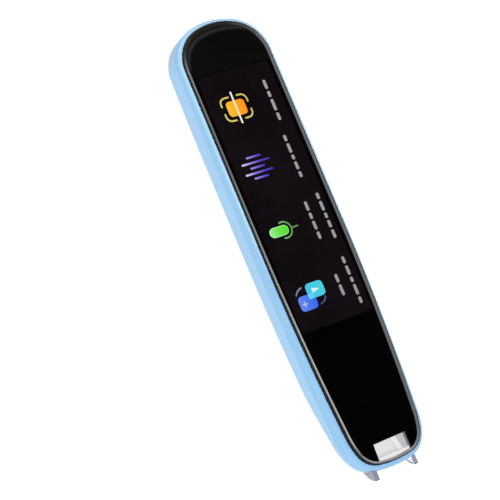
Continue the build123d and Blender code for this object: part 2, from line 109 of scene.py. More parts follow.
def outline(d, e_tip=0.0, e_tail=0.0):
    """Closed outline, counter-clockwise from the tip, the same count for every offset."""
    tip, tail = tip_half(d, e_tip), tail_half(d, e_tail)
    a, b = tip[-1], tail[-1]
    side = [(a[0], a[1] + (b[1] - a[1]) * i / SIDE_N) for i in range(1, SIDE_N)]
    right = tip + side + tail[::-1]
    return right + [(-x, y) for x, y in right[-2:0:-1]]


# ------------------------------------------------------------------ materials
def procedural(name, base, rough=0.4, metallic=0.0, vary=0.05, scale=300.0, bump=0.05,
               bump_scale=2500.0, rough_vary=0.06, alpha=1.0, spec=0.5, coat=0.0,
               emission=None, strength=0.0, wear=0.0, stretch=None, detail=4.0, low=None):
    """A Principled material whose colour, roughness and surface all come from noise."""
    m = bpy.data.materials.new(name)
    m.use_nodes = True
    nt = m.node_tree
    p = nt.nodes["Principled BSDF"]
    p.inputs["Metallic"].default_value = metallic
    p.inputs["Alpha"].default_value = alpha
    p.inputs["Specular IOR Level"].default_value = spec
    p.inputs["Coat Weight"].default_value = coat
    p.inputs["Coat Roughness"].default_value = 0.08
    tc = nt.nodes.new("ShaderNodeTexCoord")
    src = tc.outputs["Object"]
    if stretch:
        mp = nt.nodes.new("ShaderNodeMapping")
        mp.inputs["Scale"].default_value = stretch
        nt.links.new(src, mp.inputs["Vector"])
        src = mp.outputs["Vector"]
    n1 = nt.nodes.new("ShaderNodeTexNoise")
    n1.inputs["Scale"].default_value = scale
    n1.inputs["Detail"].default_value = detail
    nt.links.new(src, n1.inputs["Vector"])
    ramp = nt.nodes.new("ShaderNodeValToRGB")
    lo = [max(0.0, c * (1 - vary)) for c in base]
    hi = [min(1.0, c * (1 + vary)) for c in base]
    ramp.color_ramp.elements[0].position, ramp.color_ramp.elements[1].position = 0.3, 0.7
    ramp.color_ramp.elements[0].color = (*lo, 1)
    ramp.color_ramp.elements[1].color = (*hi, 1)
    nt.links.new(n1.outputs["Fac"], ramp.inputs["Fac"])
    colour = ramp.outputs["Color"]
    for tone, z0, z1, climb in low or ():
        # painted light and shade: the wall's tone changes a little with height, paler low down for light bounced off
        # the floor, darker on the upper wall for shade, paler on the rim top for its sheen; the change follows the
        # slope of the rim or seam
        sz = nt.nodes.new("ShaderNodeSeparateXYZ")
        nt.links.new(tc.outputs["Object"], sz.inputs["Vector"])
        ma = nt.nodes.new("ShaderNodeMath")
        ma.operation = "MULTIPLY_ADD"
        ma.inputs[1].default_value = -climb
        nt.links.new(sz.outputs["Y"], ma.inputs[0])
        nt.links.new(sz.outputs["Z"], ma.inputs[2])
        mz = nt.nodes.new("ShaderNodeMapRange")
        mz.interpolation_type = "SMOOTHSTEP"
        mz.inputs["From Min"].default_value, mz.inputs["From Max"].default_value = z0 * MM, z1 * MM
        mz.inputs["To Min"].default_value, mz.inputs["To Max"].default_value = 1.0, 0.0
        nt.links.new(ma.outputs["Value"], mz.inputs["Value"])
        ml = nt.nodes.new("ShaderNodeMixRGB")
        ml.inputs["Color2"].default_value = (*tone, 1)
        nt.links.new(mz.outputs["Result"], ml.inputs["Fac"])
        nt.links.new(colour, ml.inputs["Color1"])
        colour = ml.outputs["Color"]
    if wear:
        # rubbed patches, a little lighter and duller
        n3 = nt.nodes.new("ShaderNodeTexNoise")
        n3.inputs["Scale"].default_value = scale * 0.25
        n3.inputs["Detail"].default_value = 8.0
        nt.links.new(src, n3.inputs["Vector"])
        wr = nt.nodes.new("ShaderNodeMapRange")
        wr.inputs["From Min"].default_value, wr.inputs["From Max"].default_value = 0.55, 0.75
        wr.inputs["To Min"].default_value, wr.inputs["To Max"].default_value = 0.0, wear
        nt.links.new(n3.outputs["Fac"], wr.inputs["Value"])
        mx = nt.nodes.new("ShaderNodeMixRGB")
        mx.inputs["Color2"].default_value = (*[min(1.0, c * 0.8 + 0.18) for c in base], 1)
        nt.links.new(wr.outputs["Result"], mx.inputs["Fac"])
        nt.links.new(colour, mx.inputs["Color1"])
        colour = mx.outputs["Color"]
    nt.links.new(colour, p.inputs["Base Color"])
    n2 = nt.nodes.new("ShaderNodeTexNoise")
    n2.inputs["Scale"].default_value = scale * 2.3
    n2.inputs["Detail"].default_value = 3.0
    nt.links.new(src, n2.inputs["Vector"])
    mr = nt.nodes.new("ShaderNodeMapRange")
    mr.inputs["From Min"].default_value, mr.inputs["From Max"].default_value = 0.3, 0.7
    mr.inputs["To Min"].default_value = max(0.02, rough - rough_vary)
    mr.inputs["To Max"].default_value = rough + rough_vary
    nt.links.new(n2.outputs["Fac"], mr.inputs["Value"])
    nt.links.new(mr.outputs["Result"], p.inputs["Roughness"])
    if bump:
        nb = nt.nodes.new("ShaderNodeTexNoise")
        nb.inputs["Scale"].default_value = bump_scale
        nb.inputs["Detail"].default_value = 2.0
        nt.links.new(src, nb.inputs["Vector"])
        bp = nt.nodes.new("ShaderNodeBump")
        bp.inputs["Strength"].default_value = bump
        bp.inputs["Distance"].default_value = 0.00005
        nt.links.new(nb.outputs["Fac"], bp.inputs["Height"])
        nt.links.new(bp.outputs["Normal"], p.inputs["Normal"])
    if emission:
        # lit picture: a run of colours across the piece, along x or y
        axis, stops, a, b = emission
        sx = nt.nodes.new("ShaderNodeSeparateXYZ")
        nt.links.new(tc.outputs["Object"], sx.inputs["Vector"])
        er = nt.nodes.new("ShaderNodeMapRange")
        er.inputs["From Min"].default_value, er.inputs["From Max"].default_value = a * MM, b * MM
        nt.links.new(sx.outputs[axis], er.inputs["Value"])
        ec = nt.nodes.new("ShaderNodeValToRGB")
        el = ec.color_ramp.elements
        for i, (pos, col) in enumerate(stops):
            e = el[i] if i < len(el) else el.new(pos)
            e.position, e.color = pos, (*srgb(col), 1)
        nt.links.new(er.outputs["Result"], ec.inputs["Fac"])
        nt.links.new(ec.outputs["Color"], p.inputs["Emission Color"])
        p.inputs["Emission Strength"].default_value = strength
    elif strength:
        nt.links.new(colour, p.inputs["Emission Color"])
        p.inputs["Emission Strength"].default_value = strength
    return m


def srgb(h):
    """A colour written as six hex digits, in linear light."""
    v = [int(h[i:i + 2], 16) / 255 for i in (0, 2, 4)]
    return [c / 12.92 if c <= 0.04045 else ((c + 0.055) / 1.055) ** 2.4 for c in v]


# painted light and shade on the blue walls, set by height: a paler tone low down for floor bounce, a darker tone on
# the upper wall for shade, a paler, greyer tone on the rim top for its sheen
BLUE, BLUE_PAINTED_BOUNCE_LOW, BLUE_PAINTED_SHEEN_RIM = (0.283, 0.588, 0.880), (0.388, 0.662, 0.955), (0.378, 0.606, 0.815)
BLUE_PAINTED_SHADE_TOP = (0.250, 0.456, 0.685)
PAINTED_HEIGHT_SHADING = ((BLUE_PAINTED_BOUNCE_LOW, 7.15, 8.05, 0.0128), (BLUE_PAINTED_SHADE_TOP, 10.75, 10.38, 0.0075), (BLUE_PAINTED_SHEEN_RIM, 11.12, 10.92, 0.0))
M = {
    "blue": procedural("blue_plastic", BLUE, 0.36, vary=0.012, scale=220, bump=0.10, bump_scale=5200,
                       rough_vary=0.03, spec=0.45, wear=0.03, low=PAINTED_HEIGHT_SHADING),
    "blue_low": procedural("blue_plastic_lower", BLUE, 0.38, vary=0.012, scale=220, bump=0.10,
                           bump_scale=5200, rough_vary=0.03, spec=0.45, wear=0.04, low=PAINTED_HEIGHT_SHADING),
    "blue_key": procedural("blue_plastic_key", (0.34, 0.60, 0.86), 0.34, vary=0.015, scale=600, bump=0.08,
                           bump_scale=5200, rough_vary=0.03, wear=0.05),
    "chrome": procedural("plated_trim", (0.745, 0.745, 0.75), 0.14, metallic=1.0, vary=0.02, scale=400, bump=0.03,
                         bump_scale=1500, rough_vary=0.03, wear=0.04),
    "carrier": procedural("black_satin", (0.005, 0.005, 0.0055), 0.6, vary=0.2, scale=500, bump=0.08, bump_scale=4000,
                          spec=0.2),
    "mask": procedural("black_glass", (0.0008, 0.0008, 0.0009), 0.05, vary=0.25, scale=60, bump=0.0,
                       rough_vary=0.015, spec=0.5),
    "screen": procedural("screen_area", (0.0036, 0.0026, 0.0033), 0.05, vary=0.25, scale=60, bump=0.0,
                         rough_vary=0.015, spec=0.5, strength=0.42),
    # painted reflection on the black glass at the tail: lighter copies that glow a little, for a dim sheen, the
    # rounded edge and the highlight line along it
    "tail_glass": procedural("tail_glass", (0.0027, 0.0027, 0.0028), 0.05, vary=0.2, scale=60, bump=0.0,
                             rough_vary=0.015, spec=0.5, strength=0.3),
    "tail_fall": procedural("tail_edge_painted_reflection", (0.0072, 0.0074, 0.0074), 0.08, vary=0.2, scale=120, bump=0.0,
                            rough_vary=0.02, spec=0.5, strength=0.5),
    "tail_band": procedural("tail_border_painted_reflection", (0.0064, 0.0064, 0.0060), 0.08, vary=0.2, scale=120, bump=0.0,
                            rough_vary=0.02, spec=0.5, strength=0.5),
    "tail_line": procedural("tail_painted_highlight_line", (0.0160, 0.0162, 0.0165), 0.08, vary=0.15, scale=120, bump=0.0,
                            rough_vary=0.02, spec=0.5, strength=0.5),
    "screen_edge": procedural("screen_edge_ink", (0.0004, 0.0004, 0.0004), 0.5, vary=0.25, scale=60, bump=0.0,
                              rough_vary=0.05, spec=0.05),
    "window": procedural("clear_window", (0.80, 0.80, 0.805), 0.04, vary=0.02, scale=200, bump=0.0,
                         rough_vary=0.01, alpha=0.13, spec=0.5),
    # painted light: the chamber's white liner glows, standing in for the light of the scan LEDs inside the chamber
    "liner": procedural("white_liner", (0.312, 0.312, 0.312), 0.6, vary=0.02, scale=350, bump=0.05, bump_scale=3000,
                        spec=0.1, strength=1.25),
    # painted shade: a darker glowing copy of the liner for the chamber's side walls
    "liner_painted_shade_wall": procedural("white_liner_wall", (0.205, 0.205, 0.207), 0.6, vary=0.03, scale=350, bump=0.05,
                             bump_scale=3000, spec=0.1, strength=1.25),
    # painted light: a lighter, brighter glowing copy of the liner for the ramps, the front lip and the strip under the
    # glass
    "liner_painted_light": procedural("white_liner_painted_light_lip", (0.335, 0.335, 0.335), 0.5, vary=0.02, scale=350, bump=0.05,
                               bump_scale=3000, spec=0.1, strength=1.3),
    # painted shade: a darker glowing copy of the liner for the crease at each ramp's foot
    "liner_painted_crease_shade": procedural("white_liner_crease", (0.20, 0.20, 0.205), 0.6, vary=0.03, scale=350, bump=0.05,
                               bump_scale=3000, spec=0.1, strength=1.2),
    "foam": procedural("black_foam", (0.035, 0.035, 0.036), 0.85, vary=0.25, scale=1500, bump=0.5, bump_scale=6000),
    # painted light and shade on the clear nib: copies of one clear plastic, one per kind of face; the right fin's
    # sides are painted near white and glow, the top and back darker, the edges darkest
    "nib_side": procedural("clear_nib_side", (0.42, 0.43, 0.51), 0.12, vary=0.04, scale=700, bump=0.04,
                           rough_vary=0.04, alpha=0.80),
    "nib_inner": procedural("clear_nib_inner", (0.80, 0.81, 0.88), 0.12, vary=0.03, scale=700, bump=0.04,
                            rough_vary=0.04, alpha=0.75, strength=0.40),
    "nib_top": procedural("clear_nib_top", (0.22, 0.225, 0.29), 0.14, vary=0.05, scale=700, bump=0.04,
                          rough_vary=0.04, alpha=0.92),
    "nib_edge": procedural("clear_nib_edge", (0.085, 0.09, 0.115), 0.15, vary=0.05, scale=500, bump=0.03,
                           rough_vary=0.03, alpha=0.95),
    "display": procedural("display_cell", (0.02, 0.02, 0.023), 0.2, vary=0.1, scale=300, bump=0.02),
    "backlight": procedural("backlight_sheet", (0.72, 0.73, 0.75), 0.3, vary=0.03, scale=300, bump=0.03, metallic=0.3),
    "flex": procedural("amber_film", (0.45, 0.17, 0.03), 0.3, vary=0.12, scale=700, bump=0.04),
    "alloy": procedural("cast_alloy", (0.52, 0.53, 0.55), 0.42, metallic=0.9, vary=0.06, scale=500, bump=0.2,
                        bump_scale=3500),
    "steel": procedural("plain_steel", (0.56, 0.56, 0.58), 0.26, metallic=1.0, vary=0.05, scale=700, bump=0.06,
                        stretch=(1, 6, 1)),
    "spring": procedural("drawn_wire", (0.6, 0.6, 0.62), 0.22, metallic=1.0, vary=0.05, scale=1200, bump=0.05),
    "board": procedural("solder_mask", (0.012, 0.12, 0.055), 0.3, vary=0.2, scale=900, bump=0.08, bump_scale=2200),
    "chip": procedural("chip_package", (0.02, 0.02, 0.021), 0.55, vary=0.15, scale=1500, bump=0.2, bump_scale=6000),
    "foil": procedural("cell_foil", (0.55, 0.56, 0.58), 0.3, metallic=0.9, vary=0.05, scale=250, bump=0.3,
                       bump_scale=900),
    "lead": procedural("red_lead", (0.45, 0.02, 0.015), 0.45, vary=0.08, scale=1500, bump=0.05),
    "box_black": procedural("moulded_black", (0.022, 0.022, 0.024), 0.5, vary=0.15, scale=900, bump=0.2,
                            bump_scale=3500),
    "mesh": procedural("acoustic_mesh", (0.02, 0.02, 0.02), 0.8, vary=0.4, scale=5000, bump=0.6, bump_scale=9000),
    "lens": procedural("coated_lens", (0.10, 0.08, 0.16), 0.04, vary=0.1, scale=300, bump=0.0, rough_vary=0.01,
                       coat=1.0),
    "led": procedural("white_emitter", (0.88, 0.86, 0.74), 0.35, vary=0.04, scale=1500, bump=0.05),
    "ivory": procedural("ivory_connector", (0.72, 0.70, 0.62), 0.5, vary=0.05, scale=900, bump=0.1),
    "gold": procedural("gold_contact", (0.85, 0.56, 0.20), 0.25, metallic=1.0, vary=0.04, scale=1500, bump=0.04),
    "clear_film": procedural("clear_film", (0.75, 0.76, 0.78), 0.1, vary=0.03, scale=400, bump=0.02, alpha=0.4),
}
NODE_MATERIAL = {
    "back_shell": "blue_low", "front_frame": "blue", "bezel_carrier": "carrier", "trim_ring": "chrome",
    "cover_glass": "mask", "glass_adhesive": "foam", "optical_adhesive": "clear_film", "display_cell": "display",
    "backlight_unit": "backlight", "display_flex": "flex", "display_connector": "ivory", "midframe": "alloy",
    "frame_screws": "steel", "main_board": "board", "board_screws": "steel", "processor": "chip",
    "memory_chip": "chip", "shield_can": "steel", "wifi_module": "steel", "power_chip": "chip",
    "antenna_strip": "flex", "usb_shell": "steel", "usb_tongue": "box_black", "battery": "foil",
    "battery_pad": "foam", "battery_protection_board": "board", "battery_connector": "ivory",
    "battery_leads": "lead", "speaker": "box_black", "speaker_gasket": "foam", "speaker_mesh": "mesh",
    "microphone": "steel", "power_key": "blue_key", "power_switch": "steel", "power_plunger": "box_black",
    "scan_nib": "nib_side", "nib_slider": "box_black", "nib_springs": "spring", "trigger_board": "board",
    "trigger_switch": "chip", "trigger_plunger": "ivory", "camera_flex": "flex", "camera_board": "board",
    "image_sensor": "chip", "lens_holder": "box_black", "lens_barrel": "box_black", "lens": "lens",
    "illumination_leds": "led", "chamber_liner": "liner", "window_gasket": "foam",
}
for name, obj in NODES.items():
    obj.data.materials.clear()
    obj.data.materials.append(M[NODE_MATERIAL[name]])


def new_object(name, mesh):
    o = bpy.data.objects.new(name, mesh)
    scene.collection.objects.link(o)
    return o


# ------------------------------------------------------------------ shapes on the screen
def shift(x, y):
    """The screen's own layout sits a hair off the pen's centre line."""
    return x - 0.435 + 0.0012 * y, y + 0.19


def smooth(points, n=6, closed=False):
    """Catmull-Rom curve through points."""
    p = list(points)
    if closed:
        q = [p[-1]] + p + p[:2]
        spans = len(p)
    else:
        q = [(2 * p[0][0] - p[1][0], 2 * p[0][1] - p[1][1])] + p + [(2 * p[-1][0] - p[-2][0], 2 * p[-1][1] - p[-2][1])]
        spans = len(p) - 1
    out = []
    for i in range(spans):
        a, b, c, d = q[i:i + 4]
        for k in range(n):
            t = k / n
            out.append(tuple(0.5 * (2 * b[j] + (c[j] - a[j]) * t + (2 * a[j] - 5 * b[j] + 4 * c[j] - d[j]) * t * t
                                    + (3 * b[j] - a[j] - 3 * c[j] + d[j]) * t ** 3) for j in (0, 1)))
    if not closed:
        out.append(p[-1])
    return out


def stroke(points, width, cap=6):
    """Outline of a line of even width with round ends."""
    r, n = width / 2, len(points)
    left, right = [], []
    for i, (x, y) in enumerate(points):
        ax, ay = points[max(0, i - 1)]
        bx, by = points[min(n - 1, i + 1)]
        l = math.hypot(bx - ax, by - ay)
        nx, ny = -(by - ay) / l, (bx - ax) / l
        left.append((x + nx * r, y + ny * r))
        right.append((x - nx * r, y - ny * r))

    def cap_at(c, start):
        a0 = math.atan2(start[1] - c[1], start[0] - c[0])
        return [(c[0] + r * math.cos(a0 - math.pi * k / cap), c[1] + r * math.sin(a0 - math.pi * k / cap))
                for k in range(1, cap)]

    return left + cap_at(points[-1], left[-1]) + right[::-1] + cap_at(points[0], right[0])


def round_rect(x0, x1, y0, y1, r, n=6):
    out = []
    for cx, cy, a in ((x1 - r, y0 + r, -90), (x1 - r, y1 - r, 0), (x0 + r, y1 - r, 90), (x0 + r, y0 + r, 180)):
        for k in range(n + 1):
            t = math.radians(a + 90 * k / n)
            out.append((cx + r * math.cos(t), cy + r * math.sin(t)))
    return out


def round_poly(points, r, n=5):
    """A polygon with rounded corners."""
    out, m = [], len(points)
    for i in range(m):
        a, b, c = Vector(points[i - 1]), Vector(points[i]), Vector(points[(i + 1) % m])
        u, v = (a - b).normalized(), (c - b).normalized()
        k = min(r / math.tan(u.angle(v) / 2), (a - b).length * 0.48, (c - b).length * 0.48)
        p, q = b + u * k, b + v * k
        for j in range(n + 1):
            t = j / n
            out.append(tuple((1 - t) ** 2 * p + 2 * t * (1 - t) * b + t * t * q))
    return out


def arc(cx, cy, r, a0, a1, n=14):
    return [(cx + r * math.cos(math.radians(a0 + (a1 - a0) * k / n)),
             cy + r * math.sin(math.radians(a0 + (a1 - a0) * k / n))) for k in range(n + 1)]


def moved(poly):
    return [shift(x, y) for x, y in poly]


REGIONS = []          # (polygon, material key); a later one wins


def region(poly, key):
    REGIONS.append((moved(poly), key))


def glow(key, stops, axis="X", a=0.0, b=1.0, strength=1.0):
    M[key] = procedural("lit_" + key, (0.004, 0.004, 0.005), 0.05, vary=0.2, scale=60, bump=0.0, rough_vary=0.015,
                        emission=(axis, stops, a, b), strength=strength)


# painted reflection on the glass round the tail: a dark grey band that glows a little, standing in for the rounded
# glass edge reflecting the room, with a painted highlight line along its inner side
LINE_AT = [(46, 1.3), (54.8, 1.55), (63.3, 1.9), (72, 2.2), (81, 2.4), (90, 2.55), (117, 2.55), (134, 2.42),
           (142, 2.2), (150, 2.05), (157, 1.9), (165, 1.75), (172, 1.55), (191, 1.35)]


def tail_points(extra, lo, hi):
    """Points inside the bezel's outline round the tail, LINE_AT's distance plus extra from it."""
    base, pts = outline(0.0), []
    for i, (x, y) in enumerate(base):
        if y < 50:
            continue
        a = math.degrees(math.atan2(y - 58.0, x)) % 360
        if not lo <= a <= hi:
            continue
        k = LINE_AT[-1][1]
        for (a0, k0), (a1, k1) in zip(LINE_AT, LINE_AT[1:]):
            if a0 <= a <= a1:
                k = k0 + (k1 - k0) * (a - a0) / (a1 - a0)
        (bx, by), (cx, cy) = base[i - 1], base[(i + 1) % len(base)]
        l = math.hypot(cx - bx, cy - by)
        k += extra
        pts.append((a, x - (cy - by) / l * k, y + (cx - bx) / l * k))
    return [(x, y) for _, x, y in sorted(pts)]


def tail_ribbon(e0, e1, lo, hi, key):
    REGIONS.append((tail_points(e0, lo, hi) + tail_points(e1, lo, hi)[::-1], key))


# painted sheen: past the screen the black glass at the tail is a touch lighter and glows faintly
REGIONS.append(([(-20, 57.4), (20, 57.4), (20, 80), (-20, 80)], "tail_glass"))
tail_ribbon(0.2, 0.80, 50, 178, "tail_fall")
tail_ribbon(-1.3, -0.2, 50, 178, "tail_band")
tail_ribbon(-0.24, 0.24, 46, 178, "tail_line")

# display
REGIONS.append(([(-5.5, 57.0), (13.0, 57.0), (13.0, 57.60)], "screen_edge"))
REGIONS.append((round_rect(-13.2, 13.2, -28.2, 57.22, 0.9), "screen"))

# microphone
glow("mic_body", [(0.0, "9af092"), (0.45, "6be24a"), (1.0, "55db2c")], "X", -10.4, -3.4)
glow("mic_rim", [(0.0, "c8f8c4"), (1.0, "8af070")], "X", -10.4, -3.4)
glow("mic_arc", [(0.0, "7fae70"), (1.0, "548c42")], "X", -6.0, 0.2)
region(stroke([(-8.33, 3.70), (-4.66, 3.70)], 3.20, cap=12), "mic_rim")
region(stroke([(-8.28, 3.68), (-4.66, 3.68)], 2.80, cap=12), "mic_body")
region(stroke(arc(-4.62, 3.68, 2.62, 108, -108, 18), 0.50), "mic_arc")
region(stroke([(-1.96, 3.68), (0.39, 3.72)], 0.50), "mic_arc")

# translate
glow("tile_cyan", [(0.0, "43c4e6"), (1.0, "47cfdc")], "X", -6.2, 0.2)
glow("tile_blue", [(0.0, "6484f2"), (1.0, "2866e8")], "X", -10.2, -4.0)
glow("tile_both", [(0.0, "6cd6ff"), (1.0, "58c8fb")], "X", -6.2, -4.0)
glow("mark", [(0.0, "cdeef8"), (1.0, "d8f6f8")], "X", -10.2, 0.2)
glow("mark_blue", [(0.0, "b4c6fa"), (1.0, "c4d4fc")], "X", -10.2, 0.2)
glow("turn_left", [(0.0, "6f769c"), (1.0, "8e92bd")], "X", -10.2, -7.2)
glow("turn_right", [(0.0, "36486e"), (1.0, "46608f")], "X", -3.2, 0.2)
CYAN = round_poly([(-5.80, -14.28), (0.50, -14.28), (0.50, -19.12), (-5.80, -19.12)], 1.5)
BLUE_TILE = round_poly([(-9.80, -17.42), (-3.58, -17.42), (-3.58, -22.22), (-9.80, -22.22)], 1.5)
region(BLUE_TILE, "tile_blue")
region(CYAN, "tile_cyan")
region(round_poly([(-5.80, -17.42), (-3.58, -17.42), (-3.58, -19.12), (-5.80, -19.12)], 0.30), "tile_both")
region(round_poly([(-3.9, -15.85), (-1.1, -16.7), (-3.9, -17.55)], 0.16), "mark")
region(stroke([(-7.95, -19.3), (-7.95, -20.8)], 0.38), "mark_blue")
region(stroke([(-8.70, -20.05), (-7.20, -20.05)], 0.38), "mark_blue")
region(stroke(smooth([(-7.19, -14.91), (-8.66, -15.55), (-9.70, -16.67)]), 0.50), "turn_left")
region(stroke(smooth([(-0.25, -19.76), (-1.09, -20.84), (-2.59, -21.52)]), 0.50), "turn_right")

# scan
glow("scan_tile", [(0.0, "ffc32c"), (0.5, "ffa51c"), (1.0, "fb9510")], "X", -7.1, -0.5)
glow("scan_frame", [(0.0, "dccf66"), (1.0, "d0c060")], "X", -8.6, 0.8)
glow("scan_line", [(0.0, "f4f0e4"), (1.0, "f0eee6")], "Y", 39.9, 50.2)
glow("scan_line_on", [(0.0, "ffeeb4"), (1.0, "fff0c0")], "Y", 42.3, 47.4)
region(round_rect(-6.72, -0.10, 42.20, 47.25, 1.2), "scan_tile")
for pts in ([(-4.88, 48.68), (-6.75, 48.62), (-7.85, 48.05), (-8.22, 47.1), (-8.24, 46.1)],
            [(-1.77, 48.66), (-0.15, 48.56), (0.78, 47.95), (1.16, 47.0), (1.20, 45.9)],
            [(1.30, 43.30), (1.26, 42.25), (0.85, 41.45), (-0.05, 40.93), (-1.74, 40.85)],
            [(-8.15, 43.55), (-8.10, 42.45), (-7.70, 41.55), (-6.75, 41.03), (-5.08, 40.93)]):
    region(stroke(smooth(pts), 0.55), "scan_frame")
region(stroke([(-3.45, 49.94), (-3.51, 39.79)], 0.62), "scan_line")
region([(-3.82, 47.25), (-3.83, 42.20), (-3.17, 42.20), (-3.16, 47.25)], "scan_line_on")

# sound wave
glow("wave", [(0.0, "d8d0f0"), (0.30, "9880e6"), (0.65, "5240c4"), (1.0, "2e2c98")], "X", -10.1, 0.2)
for y, x0, x1 in ((28.45, -7.39, -2.00), (26.63, -9.75, 0.51), (24.95, -7.29, -1.97), (23.26, -9.79, 0.49),
                  (21.58, -7.28, -2.03)):
    region(stroke([(x0 + 0.31, y), (x1 - 0.31, y)], 0.62), "wave")

# plain bars where each menu entry has its label
glow("bar", [(0.0, "a5a1a6"), (1.0, "aeaaaf")], "Y", -26, 52, strength=0.85)


def bars(x, y0, y1, runs, h=1.05, gap=0.75):
    """A row of plain rounded bars from y1 down to y0."""
    k = (y1 - y0 - gap * (len(runs) - 1)) / sum(runs)
    y = y1
    for q in runs:
        l = q * k
        REGIONS.append((round_rect(x - h / 2, x + h / 2, y - l, y, min(0.42, l * 0.45), 4), "bar"))
        y -= l + gap


bars(9.03, 37.4, 51.3, (3.2, 2.1, 4.0, 2.6))
bars(8.10, 18.0, 32.4, (2.4, 3.6, 1.8, 3.0, 2.2))
bars(5.67, -2.3, 10.3, (3.0, 2.0, 2.8, 2.4))
bars(10.82, -3.5, 11.8, (2.2, 3.4, 1.9, 2.6, 3.0))
bars(5.55, -21.2, -14.2, (2.6, 3.4))
bars(10.35, -25.3, -9.7, (2.4, 3.2, 1.8, 3.6, 2.2))

# the clear window over the scan chamber, on the top and the underside of the glass
WIN_TOP = [(-5.45, -66.68), (6.42, -66.52), (6.36, -72.60), (-5.66, -72.60)]
WIN_LOW = [(-6.40, -65.6), (6.46, -65.6), (6.46, -72.90), (-6.40, -72.90)]
REGIONS.append((round_poly(WIN_TOP, 0.12, 3), "window"))


def inside(p, poly):
    x, y, hit = p[0], p[1], False
    for i in range(len(poly)):
        x0, y0 = poly[i - 1]
        x1, y1 = poly[i]
        if (y0 > y) != (y1 > y) and x < (x1 - x0) * (y - y0) / (y1 - y0) + x0:
            hit = not hit
    return hit


def partition(border, regions):
    """Triangles inside border, split along every region's edge, each with its region's key."""
    pts, edges = [], []
    loops = [border] + [r[0] for r in regions]
    for loop in loops:
        k = len(pts)
        pts += [Vector(q) for q in loop]
        edges += [(k + i, k + (i + 1) % len(loop)) for i in range(len(loop))]
    v, _, f, ov, _, _ = delaunay_2d_cdt(pts, edges, [], 0, 1e-4)
    origin = {}
    for i, src in enumerate(ov):
        for s in src:
            if s < len(border):
                origin[i] = s
    tris = []
    for t in f:
        c = sum((v[i] for i in t), Vector((0, 0))) / len(t)
        if not inside(c, border):
            continue
        key = "mask"
        for poly, k in regions:
            if inside(c, poly):
                key = k
        tris.append((t, key))
    return v, tris, origin


def build_glass():
    """Cover glass: flat top, rounded edge, with the lit picture and the clear window as faces of its own."""
    d0 = -RING_IN - 0.03
    rings = [(d0 - 0.06, GLASS_Z0, -0.8), (d0, GLASS_Z0 + 0.06, -0.15), (d0, GLASS_Z1 - GLASS_R, 0.0)]
    for k in range(1, 9):
        t = math.radians(90 * k / 8)
        rings.append((d0 - GLASS_R * (1 - math.cos(t)), GLASS_Z1 - GLASS_R * (1 - math.sin(t)), math.sin(t)))
    base = outline(d0, RING_TIP)
    n = len(base)
    normals2 = []
    for i in range(n):
        ax, ay = base[i - 1]
        bx, by = base[(i + 1) % n]
        l = math.hypot(bx - ax, by - ay)
        normals2.append(((by - ay) / l, -(bx - ax) / l))
    verts, norms, faces, keys = [], [], [], []
    for d, z, s in rings:
        c = math.sqrt(max(0.0, 1 - s * s))
        for (x, y), (nx, ny) in zip(outline(d, RING_TIP), normals2):
            verts.append((x, y, z))
            norms.append((nx * c, ny * c, s))
    for k in range(len(rings) - 1):
        for i in range(n):
            j = (i + 1) % n
            a, b = k * n, (k + 1) * n
            faces.append((a + i, a + j, b + j, b + i))
            x, y = (base[i][0] + base[j][0]) / 2, base[i][1]
            # the rounded edge round the tail takes the painted reflection band
            keys.append("window" if y < -60 and -5.6 < x < 6.4 else "tail_band" if y > 62 else "mask")
    for top in (True, False):
        start = (len(rings) - 1) * n if top else 0
        border = [(verts[start + i][0], verts[start + i][1]) for i in range(n)]
        regs = REGIONS if top else [(WIN_LOW, "window")]
        z, up = (GLASS_Z1, 1) if top else (GLASS_Z0, -1)
        v, tris, origin = partition(border, regs)
        index = {}
        for i, q in enumerate(v):
            if i in origin:
                index[i] = start + origin[i]
            else:
                index[i] = len(verts)
                verts.append((q[0], q[1], z))
                norms.append((0, 0, up))
        for t, key in tris:
            a = [index[i] for i in t]
            area = sum(verts[a[i]][0] * verts[a[(i + 1) % 3]][1] - verts[a[(i + 1) % 3]][0] * verts[a[i]][1]
                       for i in range(3))
            if (area > 0) != (up > 0):
                a.reverse()
            if len(set(a)) == 3:
                faces.append(tuple(a))
                keys.append(key)
    used = sorted(set(i for f in faces for i in f))
    remap = {o: i for i, o in enumerate(used)}
    mesh = bpy.data.meshes.new("cover_glass_pane")
    mesh.from_pydata([Vector(verts[i]) * MM for i in used], [], [tuple(remap[i] for i in f) for f in faces])
    order = sorted(set(keys))
    for k in order:
        mesh.materials.append(M[k])
    for p, k in zip(mesh.polygons, keys):
        p.material_index = order.index(k)
        p.use_smooth = True
    mesh.update()
    mesh.normals_split_custom_set_from_vertices([Vector(norms[i]).normalized() for i in used])
    return new_object("cover_glass_pane", mesh)


glass = build_glass()
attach(glass, "pen")
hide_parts("cover_glass")


# ------------------------------------------------------------------ scan chamber, seen through the window
def loft(name, sections, key, body="pen", bevel=0.0, smooth_faces=False):
    """A closed solid through sections of (x, y, z) points in millimetres."""
    bm = bmesh.new()
    rows = [[bm.verts.new(Vector(p) * MM) for p in s] for s in sections]
    m = len(rows[0])
    for a, b in zip(rows, rows[1:]):
        for i in range(m):
            j = (i + 1) % m
            bm.faces.new((a[i], a[j], b[j], b[i]))
    bm.faces.new(rows[0][::-1])
    bm.faces.new(rows[-1])
    bmesh.ops.recalc_face_normals(bm, faces=bm.faces)
    if bevel:
        bmesh.ops.bevel(bm, geom=[e for e in bm.edges if e.calc_face_angle(0) > 0.5], offset=bevel * MM,
                        segments=3, profile=0.5, affect="EDGES", clamp_overlap=True)
    mesh = bpy.data.meshes.new(name)
    bm.to_mesh(mesh)
    bm.free()
    mesh.materials.append(M[key])
    for p in mesh.polygons:
        p.use_smooth = smooth_faces
    o = new_object(name, mesh)
    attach(o, body)
    return o


